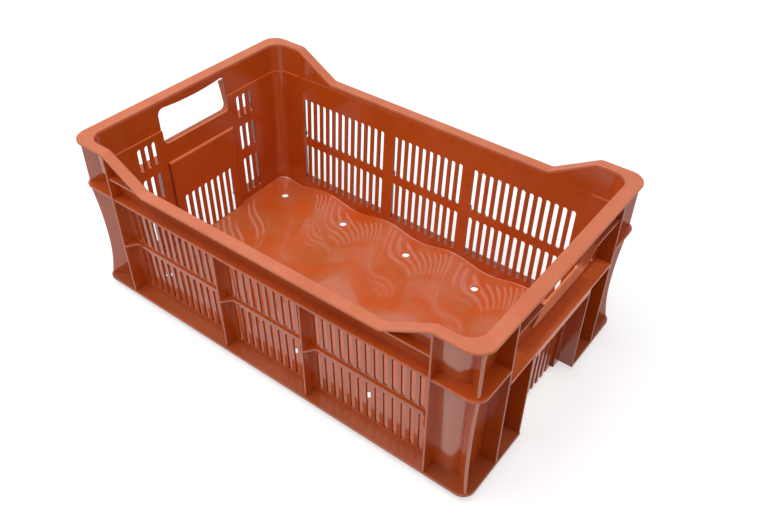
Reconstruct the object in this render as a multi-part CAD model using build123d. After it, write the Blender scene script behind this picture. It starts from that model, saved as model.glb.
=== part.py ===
"""Ventilated stacking crate: one plastic moulding described region by region.

Units are millimetres.  The origin is the middle of the footprint on the ground,
X runs along the crate, Y across it and Z points up.  The front is the -Y side
and the right end is the +X end.  Every region meets its neighbours face to face.
"""
import math
import os

from build123d import *

os.makedirs("parts", exist_ok=True)

# overall size and rim
rim_length = 600.0
rim_width = 367.5
crate_height = 237.2
rim_thickness = 4.0
rim_corner_radius = 22.0
rim_edge_round = 1.4
rim_drop = 35.1
slope_run = 60.0
slope_to_post = 2.0
slope_bend_radius = 14.0

# walls
wall_thickness = 2.6
rim_reach_at_ends = 21.3
rim_reach_at_sides = 18.0
end_draft = 3.2
side_draft = 7.2
cavity_corner_radius = 18.0
ledge_below_rim = 7.0
ledge_step = 2.5
draft_overrun = 20.0

# corner posts
post_length = 59.5
post_width = 64.4

# floor
floor_thickness = 2.4
floor_ground_gap = 0.4
floor_wave_rise = 10.0
floor_middle_share = 0.32
floor_point_spacing = 5.9
drain_hole_diameter = 11.0
drain_holes_per_row = 5
drain_end_distance = 36.2
drain_side_distance = 36.8

# base flange and the feet at the corners, above the skirt that stands on the ground
base_inset = 3.2
base_flange_height = 9.9
base_flange_thickness = 3.0
base_corner_radius = 16.0
foot_rib_gap = 5.5

# flange round the crate at two thirds of its height
band_inset = 3.5
band_below_rim = 33.1
band_thickness = 3.5
band_corner_radius = 16.0
band_edge_round = 1.0
end_shelf_below_band = 21.0
end_shelf_thickness = 3.0
end_shelf_lip_drop = 6.0
end_shelf_lip_thickness = 2.4

# ribs outside the walls
rib_thickness = 2.6
rib_edge_round = 0.9
corner_rib_setback = 1.5
corner_rib_foot_setback = 0.5
bay_rib_x = 66.7
bay_rib_setback = 0.3
bay_rib_foot_setback = 3.1
end_rib_setback = 0.5
cross_rib_top = 94.0
cross_rib_thickness = 3.0
cross_rib_reach = 2.3
cross_rib_curl = 14.0
cross_rib_curl_slope = 0.3
shoulder_rib_setback = 3.5
shoulder_rib_thickness = 2.5

# diagonal fins on the corner posts
fin_thickness = 4.0
fin_setback = 1.5
upper_fin_setback = 2.8
fin_waist_depth = 7.0
fin_edge_round = 1.4
fin_waist_height = 74.5

# ventilation slots
slot_width = 6.6
slot_to_bay_rib = 12.35
slot_to_corner_rib = 16.4
long_slot_pitch = 12.06
slot_above_cross_rib = 3.5
slot_below_cross_rib = 6.0
slot_below_band = 2.5
slot_above_base = 7.0
end_slot_to_foot_rib = 12.0
end_slot_to_end_rib = 16.0
end_slot_pitch = 12.3
end_bar_height = 88.1
end_bar_half_width = 8.0
end_slot_above_base = 5.6
end_slot_below_shelf = 7.7
end_slot_above_shelf = 3.5
end_slot_below_ledge = 8.9

# stepped vent panel in the middle of each end
panel_half_width = 61.5
panel_below_shelf = 3.3
panel_step = 4.0
panel_bottom = 1.0
panel_bead_radius = 3.7
panel_slot_margin = 18.8
panel_slot_pitch = 12.2
panel_slot_top = 82.2

# handhold and the shroud round it on the outside
handhold_half_width = 61.0
handhold_below_rim = 10.7
handhold_height = 54.0
handhold_bulge = 4.5
handhold_corner_radius = 9.0
shroud_foot_setback = 12.0
shroud_head_setback = 3.0
shroud_wing_below_rim = 24.6
shroud_plate_thickness = 2.6

# smallest distance that tells two places apart
tolerance = 0.01

# heights that follow from the sizes above
low_rim_top = crate_height - rim_drop
low_rim_underside = low_rim_top - rim_thickness
high_rim_underside = crate_height - rim_thickness
ledge_height = low_rim_top - ledge_below_rim
ledge_underside = ledge_height - wall_thickness
band_top = low_rim_top - band_below_rim
band_underside = band_top - band_thickness
end_shelf_top = band_top - end_shelf_below_band
end_shelf_underside = end_shelf_top - end_shelf_thickness
cross_rib_underside = cross_rib_top - cross_rib_thickness
floor_dip_top = floor_ground_gap + floor_thickness
base_flange_top = base_flange_height + base_flange_thickness
panel_top = end_shelf_top - panel_below_shelf
handhold_top = crate_height - handhold_below_rim
handhold_sill = handhold_top - handhold_height
shroud_bottom = handhold_sill - shroud_plate_thickness
shroud_wing_top = crate_height - shroud_wing_below_rim

# lengths and widths that follow from the sizes above
reach = 2.0 * rim_length
half_rib = rib_thickness / 2
cavity_length_at_ledge = rim_length - 2 * rim_reach_at_ends
cavity_width_at_ledge = rim_width - 2 * rim_reach_at_sides
cavity_length_at_ground = cavity_length_at_ledge - 2 * end_draft
cavity_width_at_ground = cavity_width_at_ledge - 2 * side_draft
base_width = rim_width - 2 * base_inset
band_width = rim_width - 2 * band_inset
post_x = rim_length / 2 - post_length
post_y = rim_width / 2 - post_width
foot_inner_y = panel_half_width + foot_rib_gap
end_rib_outer_x = rim_length / 2 - end_rib_setback
slope_head_x = post_x - slope_to_post
slope_foot_x = slope_head_x - slope_run
floor_wave_length = (cavity_length_at_ground - 2 * drain_end_distance) / (drain_holes_per_row - 1)
drain_row_y = cavity_width_at_ground / 2 - drain_side_distance


def block(x0, x1, y0, y1, z0, z1):
    """Box between two corners."""
    return Pos((x0 + x1) / 2, (y0 + y1) / 2, (z0 + z1) / 2) * Box(x1 - x0, y1 - y0, z1 - z0)


def rounded_prism(length, width, radius, z0, z1):
    """Upright prism with a rounded rectangular outline."""
    return extrude(Pos(0, 0, z0) * RectangleRounded(length, width, radius), amount=z1 - z0)


def cavity(offset):
    """Drafted inside of the crate, grown sideways by offset."""
    bottom = -draft_overrun
    top = crate_height + draft_overrun
    trapezia = []
    for at_ground, at_ledge in (
        (cavity_length_at_ground, cavity_length_at_ledge),
        (cavity_width_at_ground, cavity_width_at_ledge),
    ):
        lean = (at_ledge - at_ground) / ledge_height
        low = (at_ground + lean * bottom) / 2 + offset
        high = (at_ground + lean * top) / 2 + offset
        corners = [(-low, bottom), (low, bottom), (high, top), (-high, top)]
        trapezia.append(make_face(Polyline(*corners, close=True)))
    along = extrude(Plane.XZ * trapezia[0], amount=reach, both=True)
    across = extrude(Plane.YZ * trapezia[1], amount=reach, both=True)
    body = along & across
    uprights = [e for e in body.edges() if e.bounding_box().size.Z > crate_height / 2]
    return fillet(uprights, cavity_corner_radius + offset)


def below(z):
    """Everything lower than a height."""
    return block(-reach, reach, -reach, reach, -reach, z)


def above(z):
    """Everything higher than a height."""
    return block(-reach, reach, -reach, reach, z, reach)


def rim_line(drop):
    """Side view of the rim line: points from left to right."""
    high = crate_height - drop
    low = low_rim_top - drop
    bends = [(-slope_head_x, high), (-slope_foot_x, low), (slope_foot_x, low), (slope_head_x, high)]
    return [(-reach, high)] + bends + [(reach, high)]


def side_prism(points, bends):
    """Side view outline pulled across the whole width, with chosen corners rounded."""
    outline = Polyline(*points, close=True)
    face = make_face(outline)
    soft = [v for v in face.vertices() if any(math.dist((v.X, v.Y), b) < tolerance for b in bends)]
    face = fillet(soft, slope_bend_radius)
    return extrude(Plane.XZ * face, amount=reach, both=True)


def under_line(drop):
    """Everything below the rim line lowered by drop."""
    line = rim_line(drop)
    return side_prism(line + [(reach, -reach), (-reach, -reach)], line[1:-1])


def rim_inset(edge):
    """How far the middle of an edge lies inside the outline of the rim."""
    middle = edge.position_at(0.5)
    past_x = max(abs(middle.X) - rim_length / 2 + rim_corner_radius, 0.0)
    past_y = max(abs(middle.Y) - rim_width / 2 + rim_corner_radius, 0.0)
    return rim_corner_radius - math.hypot(past_x, past_y)


def on_upper_side(edge):
    """True for an edge that runs along the upper side of the rim."""
    middle = edge.position_at(0.5)
    share = (abs(middle.X) - slope_foot_x) / slope_run
    upper_side = low_rim_top + rim_drop * min(max(share, 0.0), 1.0)
    return middle.Z > upper_side - rim_thickness / 2 + tolerance


def spread(first, last, pitch):
    """Evenly spaced places from the first to the last, about one pitch apart."""
    steps = round((last - first) / pitch)
    if steps < 1:
        return [(first + last) / 2]
    return [first + (last - first) * i / steps for i in range(steps + 1)]


def upright_slot(across, low, high):
    """Outline of one round-ended ventilation slot."""
    return Pos(across, (low + high) / 2) * Rot(0, 0, 90) * SlotOverall(high - low, slot_width)


def mirrored(shape, across_x, across_y):
    """Copy of a shape built at the front right."""
    if across_x:
        shape = mirror(shape, about=Plane.YZ)
    if across_y:
        shape = mirror(shape, about=Plane.XZ)
    return shape


def save(name, shape):
    """Write one region as its own file."""
    export_step(shape, f"parts/{name}.step")


def save_four(name, shape):
    """Write a front right region and its three reflections."""
    for depth, across_y in (("front", False), ("back", True)):
        for side, across_x in (("right", False), ("left", True)):
            save(f"{depth}_{side}_{name}", mirrored(shape, across_x, across_y))


def save_sides(name, shape):
    """Write a front region and its reflection at the back."""
    save(f"front_{name}", shape)
    save(f"back_{name}", mirrored(shape, False, True))


def save_ends(name, shape):
    """Write a right end region and its reflection at the left."""
    save(f"right_{name}", shape)
    save(f"left_{name}", mirrored(shape, True, False))


# shared bodies
under_rim = under_line(rim_thickness)
under_top = under_line(0.0)
inside_low = cavity(0.0)
inside_high = cavity(ledge_step)
envelope = (cavity(wall_thickness) & below(ledge_underside)) + (
    cavity(ledge_step + wall_thickness) & above(ledge_underside)
)
hollow = (inside_low & below(ledge_height)) + (inside_high & above(ledge_height))
shell = (envelope - hollow) & under_rim & above(0.0)

front_zone = block(-post_x, post_x, -reach, 0.0, -reach, reach)
right_zone = block(0.0, reach, -post_y, post_y, -reach, reach)
post_zone = block(post_x, reach, -reach, -post_y, -reach, reach)

# long walls
middle_end = bay_rib_x - slot_to_bay_rib
side_start = bay_rib_x + slot_to_bay_rib
side_end = post_x - slot_to_corner_rib
side_columns = spread(side_start, side_end, long_slot_pitch)
slot_columns = spread(-middle_end, middle_end, long_slot_pitch) + side_columns
slot_columns = slot_columns + [-x for x in side_columns]
lower_row = (base_flange_top + slot_above_base, cross_rib_underside - slot_below_cross_rib)
upper_row = (cross_rib_top + slot_above_cross_rib, band_underside - slot_below_band)
long_slots = []
for low, high in (lower_row, upper_row):
    for x in slot_columns:
        long_slots.append(extrude(Plane.XZ * upright_slot(x, low, high), amount=reach))
long_wall = shell & front_zone & below(low_rim_underside)
save_sides("wall", long_wall - long_slots)

# triangular shoulders that carry the sloping rim, each with a rib along its foot
right_half = block(0.0, post_x, -reach, 0.0, low_rim_underside, reach)
shoulder_web = shell & right_half
shoulder_rib = block(
    slope_foot_x,
    post_x - half_rib,
    shoulder_rib_setback - rim_width / 2,
    0.0,
    low_rim_underside,
    low_rim_underside + shoulder_rib_thickness,
)
save_four("shoulder", shoulder_web + ((shoulder_rib & under_rim) - envelope))

# rim
rim_ring = rounded_prism(rim_length, rim_width, rim_corner_radius, 0.0, crate_height) - inside_high
rim = (rim_ring & under_top) - under_rim
outer_edges = [e for e in rim.edges() if rim_inset(e) < tolerance]
inner_edges = [e for e in rim.edges() if rim_inset(e) > rim_reach_at_sides / 2 and on_upper_side(e)]
rim = fillet(outer_edges + inner_edges, min(rim_edge_round, rim_thickness / 2 - tolerance))
save_sides("rim", rim & front_zone)
save_ends("rim", rim & block(post_x, reach, -reach, reach, -reach, reach))

# corner posts with their diagonal fins
corner_wall = shell & post_zone


def diagonal_fin(z0, z1, corner_x, corner_y, radius, setback, waisted):
    """Upright fin on the diagonal of the front right corner."""
    centre_x = corner_x - radius
    centre_y = corner_y - radius
    tip = radius - setback
    root = -2 * cavity_corner_radius
    if waisted:
        waist = (tip - fin_waist_depth, fin_waist_height)
        lower_curve = TangentArc(waist, (tip, z0), tangent=(0, -1))
        upper_curve = TangentArc(waist, (tip, z1), tangent=(0, 1))
        edge = [lower_curve, upper_curve]
    else:
        edge = [Line((tip, z0), (tip, z1))]
    rest = Polyline((tip, z1), (root, z1), (root, z0), (tip, z0))
    face = make_face(edge + [rest])
    plane = Plane(origin=(centre_x, -centre_y, 0), x_dir=(1, -1, 0), z_dir=(-1, -1, 0))
    fin = extrude(plane * face, amount=fin_thickness / 2, both=True)
    outer = [e for e in fin.edges() if e.center().X - e.center().Y > centre_x + centre_y]
    outer = [e for e in outer if e.length > fin_thickness + tolerance]
    return fillet(outer, min(fin_edge_round, fin_thickness / 2 - tolerance))


lower_fin = diagonal_fin(
    base_flange_top,
    band_underside,
    rim_length / 2,
    base_width / 2,
    base_corner_radius,
    fin_setback,
    True,
)
upper_fin = diagonal_fin(
    band_top,
    high_rim_underside,
    rim_length / 2,
    band_width / 2,
    band_corner_radius,
    upper_fin_setback,
    False,
)
save_four("corner_post", corner_wall + ((lower_fin + upper_fin) - envelope))

# ends
end_columns = spread(foot_inner_y + end_slot_to_foot_rib, post_y - end_slot_to_end_rib, end_slot_pitch)
end_rows = (
    (base_flange_top + end_slot_above_base, end_bar_height - end_bar_half_width),
    (end_bar_height + end_bar_half_width, end_shelf_underside - end_slot_below_shelf),
    (end_shelf_top + end_slot_above_shelf, ledge_height - end_slot_below_ledge),
)
end_slots = []
for low, high in end_rows:
    for y in end_columns + [-y for y in end_columns]:
        end_slots.append(extrude(Plane.YZ * upright_slot(y, low, high), amount=reach))
handhold_sides = Polyline(
    (handhold_half_width, handhold_top),
    (handhold_half_width, handhold_sill),
    (-handhold_half_width, handhold_sill),
    (-handhold_half_width, handhold_top),
)
handhold_grip = ThreePointArc(
    (-handhold_half_width, handhold_top),
    (0.0, handhold_top - handhold_bulge),
    (handhold_half_width, handhold_top),
)
handhold_face = make_face([handhold_sides, handhold_grip])
handhold_face = fillet(handhold_face.vertices(), handhold_corner_radius)
handhold = extrude(Plane.YZ * handhold_face, amount=reach, dir=(1, 0, 0))
panel_zone = block(0.0, reach, -panel_half_width, panel_half_width, -reach, panel_top)
end_wall = (shell & right_zone) - panel_zone - handhold
save_ends("end_wall", end_wall - end_slots)

# vent panels
panel_inside = cavity(-panel_step)
panel_outside = cavity(-panel_step + wall_thickness)
panel_recess = block(
    0.0,
    reach,
    -panel_half_width + wall_thickness,
    panel_half_width - wall_thickness,
    -reach,
    panel_top - wall_thickness,
)
panel = (panel_zone & envelope & above(panel_bottom)) - panel_inside
panel_face = panel.faces().sort_by(Axis.X)[0]
bead = [e for e in panel_face.edges() if e.center().Z > panel_bottom + tolerance]
panel = fillet(bead, panel_bead_radius)
panel = panel - (panel_recess - panel_outside)
panel_slot_bodies = []
panel_slot_end = panel_half_width - panel_slot_margin
half_slot = slot_width / 2
slot_shoulder = panel_slot_top - half_slot
for y in spread(-panel_slot_end, panel_slot_end, panel_slot_pitch):
    column = block(0.0, reach, y - half_slot, y + half_slot, -reach, slot_shoulder)
    crown = extrude(Plane.YZ * Pos(y, slot_shoulder) * Circle(half_slot), amount=reach)
    panel_slot_bodies.append(column + crown)
save_ends("vent_panel", panel - panel_slot_bodies)

# handhold shrouds: a collar round the foot and the sides of the handhold, with a wing on each side
shroud_foot_x = rim_length / 2 - shroud_foot_setback
shroud_head_x = rim_length / 2 - shroud_head_setback
shroud_side = make_face(
    Polyline(
        (0.0, shroud_bottom),
        (shroud_foot_x, shroud_bottom),
        (shroud_head_x, shroud_wing_top),
        (0.0, shroud_wing_top),
        close=True,
    )
)
shroud_zone = extrude(Plane.XZ * shroud_side, amount=reach, both=True)
collar_face = offset(handhold_face, amount=shroud_plate_thickness) - handhold_face
collar = extrude(Plane.YZ * collar_face, amount=reach, dir=(1, 0, 0)) & shroud_zone
wing_y = post_y - half_rib
wings = block(0.0, shroud_head_x, -wing_y, wing_y, shroud_wing_top - shroud_plate_thickness, shroud_wing_top)
wings = wings - block(0.0, reach, -handhold_half_width, handhold_half_width, 0.0, reach)
save_ends("handle_shroud", (collar + wings) - envelope)

# flange round the crate
band = rounded_prism(rim_length, band_width, band_corner_radius, band_underside, band_top)
band_faces = band.faces().sort_by(Axis.Z)
band_edges = band_faces[-1].edges() + band_faces[0].edges()
band = fillet(band_edges, min(band_edge_round, band_thickness / 2 - tolerance)) - envelope
save_sides("band", band & block(-post_x + half_rib, post_x - half_rib, -reach, 0.0, 0.0, reach))
post_band_zone = block(post_x + half_rib, reach, -reach, -post_y - half_rib, 0.0, reach)
save_four("corner_band", band & post_band_zone)
shelf = block(0.0, rim_length / 2, -wing_y, wing_y, end_shelf_underside, end_shelf_top)
lip_y = foot_inner_y - half_rib
shelf_lip = block(
    rim_length / 2 - end_shelf_lip_thickness,
    rim_length / 2,
    -lip_y,
    lip_y,
    end_shelf_top - end_shelf_lip_drop - end_shelf_thickness,
    end_shelf_underside,
)
save_ends("end_shelf", (shelf + shelf_lip) - envelope)

# base flange and feet
base = rounded_prism(rim_length, base_width, base_corner_radius, base_flange_height, base_flange_top)
base = fillet(base.faces().sort_by(Axis.Z)[-1].edges(), band_edge_round) - envelope
save_sides("base_flange", base & front_zone)
foot_zone = block(post_x, reach, -reach, -foot_inner_y + half_rib, 0.0, reach)
save_four("corner_foot", base & foot_zone)


def long_rib(x, foot_y, head_y, top):
    """Upright rib across a long wall, standing on the base flange."""
    foot = (-foot_y, base_flange_top)
    head = (-head_y, top)
    face = make_face(Polyline(foot, head, (0.0, top), (0.0, base_flange_top), close=True))
    rib = extrude(Plane.YZ * face, amount=half_rib, both=True)
    front = [e for e in rib.edges() if e.center().Y < -foot_y / 2]
    front = [e for e in front if e.bounding_box().size.Z > tolerance]
    return Pos(x, 0, 0) * fillet(front, min(rib_edge_round, half_rib - tolerance))


corner_rib_foot_y = base_width / 2 - corner_rib_foot_setback
corner_rib_top_y = rim_width / 2 - corner_rib_setback
corner_rib = long_rib(post_x, corner_rib_foot_y, corner_rib_top_y, crate_height)
save_four("corner_rib", (corner_rib & under_rim) - envelope)
bay_rib_foot_y = base_width / 2 - bay_rib_foot_setback
bay_rib_top_y = band_width / 2 - bay_rib_setback
save_four("bay_rib", long_rib(bay_rib_x, bay_rib_foot_y, bay_rib_top_y, band_underside) - envelope)


def end_rib(y, top):
    """Upright rib across an end wall, standing on a foot."""
    rib = block(0.0, end_rib_outer_x, -y - half_rib, -y + half_rib, base_flange_top, top)
    front = [e for e in rib.edges().filter_by(Axis.Z) if e.center().X > end_rib_outer_x / 2]
    return fillet(front, min(rib_edge_round, half_rib - tolerance)) - envelope


save_four("end_rib", end_rib(post_y, high_rim_underside))
save_four("foot_rib", end_rib(foot_inner_y, end_shelf_underside))


wall_lean = (cavity_width_at_ledge - cavity_width_at_ground) / 2 / ledge_height
wall_outside = cavity_width_at_ground / 2 + wall_lean * cross_rib_top + wall_thickness
cross_rib_shallow_y = wall_outside + cross_rib_reach


def cross_rib(left_x, right_x, left_y, right_y):
    """Level rib across one bay that curls out to the upright rib at each end."""
    shallow_left = (left_x + cross_rib_curl, -cross_rib_shallow_y)
    shallow_right = (right_x - cross_rib_curl, -cross_rib_shallow_y)
    curl_left = Spline((left_x, -left_y), shallow_left, tangents=[(1, cross_rib_curl_slope), (1, 0)])
    run = Line(shallow_left, shallow_right)
    curl_right = Spline(shallow_right, (right_x, -right_y), tangents=[(1, 0), (1, -cross_rib_curl_slope)])
    back = Polyline((right_x, -right_y), (right_x, 0.0), (left_x, 0.0), (left_x, -left_y))
    face = make_face([curl_left, run, curl_right, back])
    level = Pos(0, 0, cross_rib_underside) * face
    return extrude(level, amount=cross_rib_thickness, dir=(0, 0, 1)) - envelope


def rib_edge(foot_y, head_y, top):
    """How far a long side rib stands out at the height of the cross rib."""
    share = (cross_rib_underside - base_flange_top) / (top - base_flange_top)
    return foot_y + (head_y - foot_y) * share


bay_edge = rib_edge(bay_rib_foot_y, bay_rib_top_y, band_underside)
corner_edge = rib_edge(corner_rib_foot_y, corner_rib_top_y, crate_height)
save_sides("middle_cross_rib", cross_rib(-bay_rib_x + half_rib, bay_rib_x - half_rib, bay_edge, bay_edge))
save_four("cross_rib", cross_rib(bay_rib_x + half_rib, post_x - half_rib, bay_edge, corner_edge))

# floor
floor_reach_x = cavity_length_at_ledge / 2
floor_reach_y = cavity_width_at_ledge / 2
grid = []
for x in spread(-floor_reach_x, floor_reach_x, floor_point_spacing):
    wave = 0.5 - 0.5 * math.cos(2 * math.pi * x / floor_wave_length)
    line = []
    for y in spread(-floor_reach_y, floor_reach_y, floor_point_spacing):
        swell = floor_middle_share + (1 - floor_middle_share) * (y / floor_reach_y) ** 2
        line.append((x, y, floor_dip_top + floor_wave_rise * wave * swell))
    grid.append(line)
floor_top = Face.make_surface_from_array_of_points(grid)
floor = extrude(floor_top, amount=floor_thickness, dir=(0, 0, -1)) & inside_low
panel_blocks = panel_zone - panel_inside
floor = floor - panel_blocks - mirrored(panel_blocks, True, False)
drains = []
drain_end_x = floor_wave_length * (drain_holes_per_row - 1) / 2
for x in spread(-drain_end_x, drain_end_x, floor_wave_length):
    for y in (-drain_row_y, drain_row_y):
        drains.append(Pos(x, y, 0) * Cylinder(drain_hole_diameter / 2, reach))
save("floor_panel", floor - drains)
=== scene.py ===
import math
import bpy
import numpy as np
from mathutils import Matrix, Vector


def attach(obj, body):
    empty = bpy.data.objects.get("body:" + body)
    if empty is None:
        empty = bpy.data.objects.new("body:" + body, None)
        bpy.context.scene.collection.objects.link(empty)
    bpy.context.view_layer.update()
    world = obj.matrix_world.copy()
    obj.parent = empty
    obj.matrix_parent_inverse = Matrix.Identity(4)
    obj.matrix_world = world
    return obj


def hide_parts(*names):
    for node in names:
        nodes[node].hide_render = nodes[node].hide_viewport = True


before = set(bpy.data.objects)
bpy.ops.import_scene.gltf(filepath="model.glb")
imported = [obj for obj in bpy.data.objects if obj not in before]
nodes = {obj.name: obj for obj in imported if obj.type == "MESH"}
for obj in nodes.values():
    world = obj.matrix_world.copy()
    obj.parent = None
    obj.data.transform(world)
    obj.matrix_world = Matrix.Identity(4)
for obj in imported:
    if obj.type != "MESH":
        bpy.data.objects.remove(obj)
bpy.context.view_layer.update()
print("frame loaded:", len(nodes), "nodes")


# helpers for objects and shader nodes

def deselectAll():
    if bpy.context.object and bpy.context.object.mode != "OBJECT":
        bpy.ops.object.mode_set(mode="OBJECT")
    bpy.ops.object.select_all(action="DESELECT")


def makeActive(obj):
    deselectAll()
    obj.select_set(True)
    bpy.context.view_layer.objects.active = obj


def applyModifier(obj, name):
    makeActive(obj)
    bpy.ops.object.modifier_apply(modifier=name)


def smoothStep(low, high, value):
    t = min(max((value - low) / (high - low), 0.0), 1.0)
    return t * t * (3.0 - 2.0 * t)


def emptyTree(holder):
    holder.use_nodes = True
    holder.node_tree.nodes.clear()
    return holder.node_tree


def addNode(tree, kind, place, **values):
    node = tree.nodes.new(kind)
    node.location = place
    for key, value in values.items():
        setattr(node, key, value)
    return node


def addMath(tree, place, operation, *operands):
    node = addNode(tree, "ShaderNodeMath", place, operation=operation)
    for socket, operand in zip(node.inputs, operands):
        if isinstance(operand, float):
            socket.default_value = operand
        else:
            tree.links.new(operand, socket)
    return node.outputs[0]


def addRange(tree, place, value, fromRange, toRange=(0.0, 1.0), curve="LINEAR"):
    node = addNode(tree, "ShaderNodeMapRange", place, interpolation_type=curve)
    node.inputs["From Min"].default_value, node.inputs["From Max"].default_value = fromRange
    node.inputs["To Min"].default_value, node.inputs["To Max"].default_value = toRange
    tree.links.new(value, node.inputs["Value"])
    return node.outputs["Result"]


def addBlend(tree, place, kind, first, second, share):
    node = addNode(tree, "ShaderNodeMix", place, data_type=kind)
    node.inputs["B"].default_value = second
    tree.links.new(first, node.inputs["A"])
    tree.links.new(share, node.inputs["Factor"])
    return node.outputs["Result"]


# plastic: one shared group for the skin of the moulding

skinSizes = {
    "noises": {                 # scales are per metre
        "cloud": {"Scale": 9.0, "Detail": 4.0, "Roughness": 0.6},       # slow clouds in the pigment
        "streak": {"Scale": 38.0, "Detail": 3.0, "Distortion": 0.6},    # flow streaks
        "scuff": {"Scale": 55.0, "Detail": 6.0, "Roughness": 0.65},     # rubbed patches
        "grain": {"Scale": 900.0, "Detail": 2.0},                       # fine orange peel
    },
    "cloudShare": 0.6,
    "streakShare": 0.4,
    "toneRange": (0.35, 0.65),
    "rubRange": (0.45, 0.75),
    "grainHeight": 0.35,        # beside the streaks
    "bumpDepth": 0.0004,
    "facingRange": (0.5, 0.9),  # how squarely a face looks along an axis before it takes its tone of painted light and shade
}


def makeSkinGroup():
    group = bpy.data.node_groups.new("mouldedSkin", "ShaderNodeTree")
    sockets = group.interface
    sockets.new_socket("Coordinates", in_out="INPUT", socket_type="NodeSocketVector")
    for label in ("Base Roughness", "Rub"):
        sockets.new_socket(label, in_out="INPUT", socket_type="NodeSocketFloat")
    for label in ("Cloud", "Roughness", "Height"):
        sockets.new_socket(label, in_out="OUTPUT", socket_type="NodeSocketFloat")
    inside = addNode(group, "NodeGroupInput", (-900, 0))
    outside = addNode(group, "NodeGroupOutput", (700, 0))
    noises = {}
    for row, (label, values) in enumerate(skinSizes["noises"].items()):
        noise = addNode(group, "ShaderNodeTexNoise", (-650, 300 - 240 * row))
        for socket, value in values.items():
            noise.inputs[socket].default_value = value
        group.links.new(inside.outputs["Coordinates"], noise.inputs["Vector"])
        noises[label] = noise.outputs["Fac"]
    clouds = addMath(group, (-380, 360), "MULTIPLY", noises["cloud"], skinSizes["cloudShare"])
    tone = addMath(group, (-380, 200), "MULTIPLY_ADD", noises["streak"], skinSizes["streakShare"], clouds)
    tone = addRange(group, (-160, 220), tone, skinSizes["toneRange"], curve="SMOOTHSTEP")
    group.links.new(tone, outside.inputs["Cloud"])
    rubbed = addRange(group, (-380, -160), noises["scuff"], skinSizes["rubRange"], curve="SMOOTHSTEP")
    rub, base = inside.outputs["Rub"], inside.outputs["Base Roughness"]
    roughness = addMath(group, (-120, -120), "MULTIPLY_ADD", rubbed, rub, base)
    group.links.new(roughness, outside.inputs["Roughness"])
    grain, streak = noises["grain"], noises["streak"]
    height = addMath(group, (-120, -380), "MULTIPLY_ADD", grain, skinSizes["grainHeight"], streak)
    group.links.new(height, outside.inputs["Height"])
    return group


skinGroup = makeSkinGroup()


# painted light and shade: faces that look up take a lighter or darker tone for how the light falls on them
def shadeByFacing(tree, finish, colour, roughness):
    facing = addNode(tree, "ShaderNodeNewGeometry", (-760, 420))
    lean = addNode(tree, "ShaderNodeSeparateXYZ", (-560, 420))
    tree.links.new(facing.outputs["Normal"], lean.inputs[0])
    span = skinSizes["facingRange"]
    upward = addRange(tree, (-380, 420), lean.outputs["Z"], span, curve="SMOOTHSTEP")
    colour = addBlend(tree, (80, 240), "RGBA", colour, (*finish["upwardPaintedLightTone"], 1.0), upward)
    # painted shade on the cheeks of the slots, which face along the slot axis
    if finish["slotAxis"]:
        across = addMath(tree, (-560, 620), "ABSOLUTE", lean.outputs[finish["slotAxis"]])
        cheek = addRange(tree, (-380, 620), across, span, curve="SMOOTHSTEP")
        colour = addBlend(tree, (220, 240), "RGBA", colour, (*finish["slotPaintedShadeTone"], 1.0), cheek)
        roughness = addBlend(tree, (140, -60), "FLOAT", roughness, finish["slotRoughness"], cheek)
    return colour, roughness


def makePlastic(name, finish):
    material = bpy.data.materials.new(name)
    tree = emptyTree(material)
    output = addNode(tree, "ShaderNodeOutputMaterial", (700, 0))
    shader = addNode(tree, "ShaderNodeBsdfPrincipled", (380, 0))
    shader.inputs["IOR"].default_value = finish["ior"]
    shader.inputs["Specular IOR Level"].default_value = finish["specular"]
    coords = addNode(tree, "ShaderNodeTexCoord", (-760, 0))
    skin = addNode(tree, "ShaderNodeGroup", (-500, 0), node_tree=skinGroup)
    skin.inputs["Base Roughness"].default_value = finish["roughness"]
    skin.inputs["Rub"].default_value = finish["rub"]
    tree.links.new(coords.outputs["Object"], skin.inputs["Coordinates"])
    tint = addNode(tree, "ShaderNodeMix", (-160, 140), data_type="RGBA")
    tint.inputs["A"].default_value = (*finish["deepTone"], 1.0)
    tint.inputs["B"].default_value = (*finish["paleTone"], 1.0)
    tree.links.new(skin.outputs["Cloud"], tint.inputs["Factor"])
    colour, roughness = tint.outputs["Result"], skin.outputs["Roughness"]
    if finish["upwardPaintedLightTone"]:
        colour, roughness = shadeByFacing(tree, finish, colour, roughness)
    tree.links.new(colour, shader.inputs["Base Color"])
    tree.links.new(roughness, shader.inputs["Roughness"])
    bump = addNode(tree, "ShaderNodeBump", (100, -240))
    bump.inputs["Strength"].default_value = finish["bump"]
    bump.inputs["Distance"].default_value = skinSizes["bumpDepth"]
    tree.links.new(skin.outputs["Height"], bump.inputs["Height"])
    tree.links.new(bump.outputs["Normal"], shader.inputs["Normal"])
    tree.links.new(shader.outputs["BSDF"], output.inputs["Surface"])
    return material


ribFinish = {
    "deepTone": (0.51, 0.080, 0.006),
    "paleTone": (0.58, 0.098, 0.010),
    "upwardPaintedLightTone": None,                     # tone of painted light and shade for faces that look up
    "slotAxis": None,                       # axis that the cheeks of the slots face along; they take a tone of painted shade
    "roughness": 0.12,
    "rub": 0.06,
    "specular": 0.68,
    "ior": 1.55,
    "bump": 0.03,
}
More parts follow.
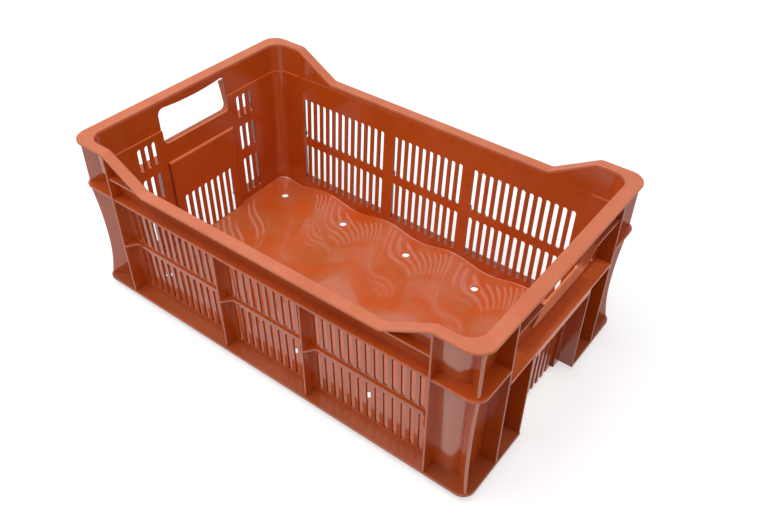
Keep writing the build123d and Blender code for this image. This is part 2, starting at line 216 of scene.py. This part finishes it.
# darker copy of the rib plastic: painted shade for the end and foot ribs in the recesses at the ends
endRibShadedFinish = {
    **ribFinish,
    "deepTone": (0.37, 0.057, 0.005),
    "paleTone": (0.43, 0.070, 0.008),
    "specular": 0.55,
}
longWallFinish = {
    **ribFinish,
    # painted shade on faces that look up, such as slot bottoms and ledge tops
    "upwardPaintedLightTone": (0.36, 0.052, 0.004),
    "slotAxis": "X",
    "slotPaintedShadeTone": (0.30, 0.042, 0.004),
    "slotRoughness": 0.65,
}
endWallFinish = {
    **longWallFinish,
    # painted highlight on faces that look up, such as the ledge
    "upwardPaintedLightTone": (0.80, 0.19, 0.05),
    "slotAxis": "Y",
    "roughness": 0.20,
    "specular": 0.44,
}
postFinish = {
    **ribFinish,
    "deepTone": (0.51, 0.084, 0.008),
    "paleTone": (0.57, 0.099, 0.012),
    # painted highlight on faces that look up, where the ledge line runs on
    "upwardPaintedLightTone": (0.62, 0.12, 0.02),
    "specular": 0.92,
}
ledgeFinish = {
    **ribFinish,
    "deepTone": (0.50, 0.079, 0.007),
    "paleTone": (0.57, 0.098, 0.013),
    "roughness": 0.30,
    "rub": 0.08,
    "specular": 0.62,
    "ior": 1.5,
    "bump": 0.04,
}
footFinish = {
    **ledgeFinish,
    "deepTone": (0.39, 0.076, 0.015),
    "paleTone": (0.46, 0.096, 0.025),
    "specular": 0.72,
}
# darker copy of the foot plastic: painted shade for the corner feet under the bands and rim
cornerFootShadedFinish = {
    **footFinish,
    "deepTone": (0.33, 0.062, 0.011),
    "paleTone": (0.39, 0.078, 0.018),
}
# lighter copy of the ledge plastic: painted light on the end shelves
shelfLitFinish = {
    **ledgeFinish,
    "deepTone": (0.72, 0.140, 0.030),
    "paleTone": (0.80, 0.170, 0.046),
}
rimFinish = {
    **ribFinish,
    "deepTone": (0.60, 0.156, 0.068),
    "paleTone": (0.67, 0.196, 0.100),
    "roughness": 0.42,
    "rub": 0.08,
    "specular": 0.28,
    "ior": 1.5,
    "bump": 0.04,
}
shroudFinish = {
    **rimFinish,
    "deepTone": (0.49, 0.118, 0.046),
    "paleTone": (0.56, 0.142, 0.062),
}
floorFinish = {
    **ribFinish,
    "deepTone": (0.68, 0.106, 0.014),
    "paleTone": (0.60, 0.154, 0.048),
    "roughness": 0.10,
    "specular": 0.9,
    "bump": 0.02,
}
plasticRows = (                             # name, finish, and how the names of its nodes end
    ("terracottaRibPlastic", ribFinish, ("corner_rib", "bay_rib", "cross_rib", "shoulder")),
    ("terracottaEndRibShadedPlastic", endRibShadedFinish, ("end_rib", "foot_rib")),
    ("terracottaLongWallPlastic", longWallFinish, ("front_wall", "back_wall")),
    ("terracottaEndWallPlastic", endWallFinish, ("end_wall", "vent_panel")),
    ("terracottaPostPlastic", postFinish, ("corner_post",)),
    ("terracottaLedgePlastic", ledgeFinish, ("_band",)),
    ("terracottaFootPlastic", footFinish, ("base_flange",)),
    ("terracottaCornerFootShadedPlastic", cornerFootShadedFinish, ("corner_foot",)),
    ("terracottaShelfLitPlastic", shelfLitFinish, ("end_shelf",)),
    ("terracottaRimPlastic", rimFinish, ("_rim",)),
    ("terracottaShroudPlastic", shroudFinish, ("handle_shroud",)),
    ("terracottaFloorPlastic", floorFinish, ("floor_panel",)),
)


def layPlastics():
    laid = 0
    for plasticName, finish, endings in plasticRows:
        plastic = makePlastic(plasticName, finish)
        for nodeName, obj in nodes.items():
            if nodeName.endswith(endings):
                obj.material_slots[0].material = plastic
                laid += 1
    print("plastic laid on", laid, "of", len(nodes), "nodes")


layPlastics()


# rippled floor: glossy waves from wall to wall, a small cove at the walls and drain holes

floorSizes = {
    "halfLength": 0.2755,       # inside of the crate at the ground
    "halfWidth": 0.15855,
    "endLean": 0.0164,          # how the walls lean out with height
    "sideLean": 0.0369,
    "endReach": 0.0003,         # room for that lean at the edge of the grid
    "sideReach": 0.0005,
    "cornerRadius": 0.018,
    "panelHalfWidth": 0.0615,   # stepped panel in each end
    "panelStep": 0.0040,
    "panelEdge": 0.0001,
    "thickness": 0.0024,
    "dipTop": 0.0028,
    "waveRise": 0.0100,
    "waveLength": 0.11965,
    "middleShare": 0.32,        # height of the wave along the middle of the floor
    "swellReach": 0.16575,
    "coveRadius": 0.0010,
    "gridStep": 0.0017,
    "edgeSteps": 4,
    "gridDigits": 6,            # lines closer than a micrometre are one
    "mergeGap": 0.00004,
    "sliverGap": 0.00002,
    "holeRadius": 0.0055,
    "holeSides": 48,
    "holeRowY": 0.12175,
    "holesPerRow": 5,
    "drillDepth": 0.06,
    "dishRadius": 0.0095,
    "dishDepth": 0.0003,
    "dishFlat": 0.5,            # share of the dish that stays level
    "undersideLean": -0.2,
    "undersideKept": 0.60,      # share of the faces left after thinning
    "smoothAngle": 40.0,
}


def floorOutline(y, z):
    halfX = floorSizes["halfLength"] + floorSizes["endLean"] * z
    halfY = floorSizes["halfWidth"] + floorSizes["sideLean"] * z
    if abs(y) < floorSizes["panelHalfWidth"]:
        halfX -= floorSizes["panelStep"]
    return halfX, halfY


def wallDistance(x, y, z):
    halfX, halfY = floorOutline(y, z)
    radius = floorSizes["cornerRadius"]
    pastX = abs(x) - halfX + radius
    pastY = abs(y) - halfY + radius
    if pastX > 0.0 and pastY > 0.0:
        return radius - math.hypot(pastX, pastY)
    return min(halfX - abs(x), halfY - abs(y))


def insideWall(x, y, z):
    halfX, halfY = floorOutline(y, z)
    radius = floorSizes["cornerRadius"]
    x = min(max(x, -halfX), halfX)
    y = min(max(y, -halfY), halfY)
    pastX = abs(x) - halfX + radius
    pastY = abs(y) - halfY + radius
    if pastX > 0.0 and pastY > 0.0:
        reach = math.hypot(pastX, pastY)
        if reach > radius:
            x = math.copysign(halfX - radius + pastX * radius / reach, x)
            y = math.copysign(halfY - radius + pastY * radius / reach, y)
    return x, y


def waveTop(x, y):
    wave = 0.5 - 0.5 * math.cos(2.0 * math.pi * x / floorSizes["waveLength"])
    share = floorSizes["middleShare"]
    swell = share + (1.0 - share) * (y / floorSizes["swellReach"]) ** 2
    return floorSizes["dipTop"] + floorSizes["waveRise"] * wave * swell


def holePlaces():
    middle = (floorSizes["holesPerRow"] - 1) / 2
    return [(i - middle) * floorSizes["waveLength"] for i in range(floorSizes["holesPerRow"])]


def floorPoint(x, y):
    x, y = insideWall(x, y, waveTop(x, y))
    z = waveTop(x, y)
    cove = floorSizes["coveRadius"]
    near = max(wallDistance(x, y, z), 0.0)
    toHole = min(math.hypot(x - holeX, abs(y) - floorSizes["holeRowY"]) for holeX in holePlaces())
    rise = smoothStep(floorSizes["dishFlat"], 1.0, toHole / floorSizes["dishRadius"])
    z -= floorSizes["dishDepth"] * (1.0 - rise)
    if near < cove:
        z += cove - math.sqrt(max(cove * cove - (cove - near) ** 2, 0.0))
    return x, y, z


def gridLines(half, extra):
    inner = half - floorSizes["coveRadius"]
    count = int(2.0 * inner / floorSizes["gridStep"])
    edgeSteps = floorSizes["edgeSteps"]
    lines = [-inner + 2.0 * inner * i / count for i in range(count + 1)]
    edge = [inner + floorSizes["coveRadius"] * i / edgeSteps for i in range(1, edgeSteps + 1)]
    lines += edge + [-v for v in edge] + extra
    return sorted(set(round(v, floorSizes["gridDigits"]) for v in lines))


def addFloorGrid():
    step, edge = floorSizes["panelHalfWidth"], floorSizes["panelEdge"]
    panelLines = [-step, -step + edge, step - edge, step]
    xs = gridLines(floorSizes["halfLength"] + floorSizes["endReach"], [])
    ys = gridLines(floorSizes["halfWidth"] + floorSizes["sideReach"], panelLines)
    # a plain grid from -1 to 1, whose points then move to those lines
    deselectAll()
    bpy.ops.mesh.primitive_grid_add(x_subdivisions=len(xs) - 1, y_subdivisions=len(ys) - 1, size=2.0)
    floor = bpy.context.object
    floor.name = "rippledFloor"
    coords = np.zeros(len(floor.data.vertices) * 3)
    floor.data.vertices.foreach_get("co", coords)
    coords = coords.reshape(-1, 3)
    for point in coords:
        column = round((point[0] + 1.0) / 2.0 * (len(xs) - 1))
        row = round((point[1] + 1.0) / 2.0 * (len(ys) - 1))
        point[:] = floorPoint(xs[column], ys[row])
    floor.data.vertices.foreach_set("co", coords.ravel())
    floor.data.update()
    makeActive(floor)
    bpy.ops.object.mode_set(mode="EDIT")
    bpy.ops.mesh.select_all(action="SELECT")
    bpy.ops.mesh.remove_doubles(threshold=floorSizes["mergeGap"])
    bpy.ops.mesh.dissolve_degenerate(threshold=floorSizes["sliverGap"])
    bpy.ops.object.mode_set(mode="OBJECT")
    return floor


def addDrill():
    cutters = []
    for holeX in holePlaces():
        for rowY in (-floorSizes["holeRowY"], floorSizes["holeRowY"]):
            deselectAll()
            bpy.ops.mesh.primitive_cylinder_add(
                vertices=floorSizes["holeSides"],
                radius=floorSizes["holeRadius"],
                depth=floorSizes["drillDepth"],
                location=(holeX, rowY, 0.0),
            )
            cutters.append(bpy.context.object)
    makeActive(cutters[0])
    for cutter in cutters:
        cutter.select_set(True)
    bpy.ops.object.join()
    return bpy.context.object


def drillDrains(floor):
    drill = addDrill()
    cut = floor.modifiers.new("drain", "BOOLEAN")
    cut.operation = "DIFFERENCE"
    cut.object = drill
    cut.solver = "EXACT"
    applyModifier(floor, "drain")
    bpy.data.objects.remove(drill)


# the underside is hidden, so it gets by with fewer faces
def thinUnderside(floor):
    under = floor.vertex_groups.new(name="underside")
    below = [v.index for v in floor.data.vertices if v.normal.z < floorSizes["undersideLean"]]
    under.add(below, 1.0, "REPLACE")
    thin = floor.modifiers.new("thin", "DECIMATE")
    thin.ratio = floorSizes["undersideKept"]
    thin.vertex_group = "underside"
    thin.vertex_group_factor = 1.0
    applyModifier(floor, "thin")


def makeFloor():
    floor = addFloorGrid()
    plate = floor.modifiers.new("plate", "SOLIDIFY")
    plate.thickness = floorSizes["thickness"]
    plate.offset = -1.0
    applyModifier(floor, "plate")
    drillDrains(floor)
    thinUnderside(floor)
    makeActive(floor)
    bpy.ops.object.shade_smooth_by_angle(angle=math.radians(floorSizes["smoothAngle"]))
    floor.data.materials.clear()
    floor.data.materials.append(bpy.data.materials["terracottaFloorPlastic"])
    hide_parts("floor_panel")
    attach(floor, "root")
    floor.data.calc_loop_triangles()
    print("rippled floor:", len(floor.data.loop_triangles), "triangles")


makeFloor()


# stage: pale paper and a white sky, both brighter to the camera and in reflections than as light

stageSizes = {
    "paperSize": 14.0,
    "paperDrop": 0.0003,
    "paper": (0.60, 0.60, 0.60),
    "lift": (0.60, 0.84),       # added near the crate, and where the lamps fade
    "fade": (1.0, 3.5),         # where the one becomes the other
    "skyStrength": (0.36, 1.0),  # as diffuse light, and as the camera and reflections see it
}


def addSeen(tree, place):
    path = addNode(tree, "ShaderNodeLightPath", place)
    seen = path.outputs["Is Camera Ray"]
    for step, ray in enumerate(("Is Glossy Ray", "Is Transmission Ray"), 1):
        seen = addMath(tree, (place[0] + 180 * step, place[1]), "MAXIMUM", seen, path.outputs[ray])
    return seen


def makePaper():
    deselectAll()
    place = (0.0, 0.0, -stageSizes["paperDrop"])
    bpy.ops.mesh.primitive_plane_add(size=stageSizes["paperSize"], location=place)
    paper = bpy.context.object
    paper.name = "studioPaper"
    material = bpy.data.materials.new("studioPaper")
    tree = emptyTree(material)
    output = addNode(tree, "ShaderNodeOutputMaterial", (500, 0))
    matte = addNode(tree, "ShaderNodeBsdfDiffuse", (0, 100))
    matte.inputs["Color"].default_value = (*stageSizes["paper"], 1.0)
    glow = addNode(tree, "ShaderNodeEmission", (0, -100))
    coords = addNode(tree, "ShaderNodeTexCoord", (-760, -320))
    distance = addNode(tree, "ShaderNodeVectorMath", (-560, -320), operation="LENGTH")
    tree.links.new(coords.outputs["Object"], distance.inputs[0])
    lift = addRange(tree, (-380, -320), distance.outputs["Value"], stageSizes["fade"], stageSizes["lift"])
    lift = addMath(tree, (-160, -160), "MULTIPLY", addSeen(tree, (-760, -60)), lift)
    tree.links.new(lift, glow.inputs["Strength"])
    both = addNode(tree, "ShaderNodeAddShader", (260, 0))
    tree.links.new(matte.outputs[0], both.inputs[0])
    tree.links.new(glow.outputs[0], both.inputs[1])
    tree.links.new(both.outputs[0], output.inputs["Surface"])
    paper.data.materials.append(material)
    print("paper laid")


def makeSky():
    world = bpy.data.worlds.new("studioSky")
    bpy.context.scene.world = world
    tree = emptyTree(world)
    output = addNode(tree, "ShaderNodeOutputWorld", (500, 0))
    sky = addNode(tree, "ShaderNodeBackground", (250, 0))
    sky.inputs["Color"].default_value = (1.0, 1.0, 1.0, 1.0)
    strength = addRange(tree, (0, 0), addSeen(tree, (-700, 0)), (0.0, 1.0), stageSizes["skyStrength"])
    tree.links.new(strength, sky.inputs["Strength"])
    tree.links.new(sky.outputs[0], output.inputs["Surface"])
    print("sky set")


# lamps: one large soft light from above and two weak fills

lampSizes = {
    "overhead": {"place": (-0.20, -0.40, 1.9), "aim": (0.0, 0.0, 0.1), "size": (1.9, 1.5), "power": 26.0},
    "frontFill": {"place": (-1.5, -1.9, 1.1), "aim": (0.0, 0.0, 0.1), "size": (1.4, 1.2), "power": 6.0},
    "rightFill": {"place": (2.0, 0.5, 1.2), "aim": (0.1, 0.0, 0.1), "size": (1.4, 1.2), "power": 4.0},
}


def makeLamps():
    for name, sizes in lampSizes.items():
        data = bpy.data.lights.new(name, "AREA")
        data.shape = "RECTANGLE"
        data.size, data.size_y = sizes["size"]
        data.energy = sizes["power"]
        lamp = bpy.data.objects.new(name, data)
        bpy.context.scene.collection.objects.link(lamp)
        lamp.location = sizes["place"]
        aim = Vector(sizes["aim"]) - Vector(sizes["place"])
        lamp.rotation_euler = aim.to_track_quat("-Z", "Y").to_euler()
    print("lamps hung:", len(lampSizes))


# camera: angles in degrees, the focal length in pixels of the photograph

cameraSizes = {
    "place": (0.51840, -0.64088, 0.78078),
    "azimuth": 35.9618,
    "elevation": 40.3764,
    "roll": 1.4681,
    "focalPixels": 815.762,
    "imageWidth": 773.0,
    "sensor": 36.0,
    "clipStart": 0.01,
}


def makeCamera():
    azimuth, elevation, roll = (math.radians(cameraSizes[key]) for key in ("azimuth", "elevation", "roll"))
    level = math.cos(elevation)
    back = Vector((math.sin(azimuth) * level, -math.cos(azimuth) * level, math.sin(elevation)))
    right = (-back).cross(Vector((0.0, 0.0, 1.0))).normalized()
    up = right.cross(-back)
    turnedRight = math.cos(roll) * right + math.sin(roll) * up
    turnedUp = math.cos(roll) * up - math.sin(roll) * right
    matrix = Matrix((turnedRight, turnedUp, back)).transposed().to_4x4()
    matrix.translation = Vector(cameraSizes["place"])
    data = bpy.data.cameras.new("photoCamera")
    data.sensor_fit = "HORIZONTAL"
    data.sensor_width = cameraSizes["sensor"]
    data.lens = cameraSizes["focalPixels"] / cameraSizes["imageWidth"] * cameraSizes["sensor"]
    data.clip_start = cameraSizes["clipStart"]
    camera = bpy.data.objects.new("photoCamera", data)
    bpy.context.scene.collection.objects.link(camera)
    camera.matrix_world = matrix
    bpy.context.scene.camera = camera
    print("camera set, lens", round(data.lens, 3))


makePaper()
makeSky()
makeLamps()
makeCamera()
bpy.context.scene.view_settings.view_transform = "Standard"
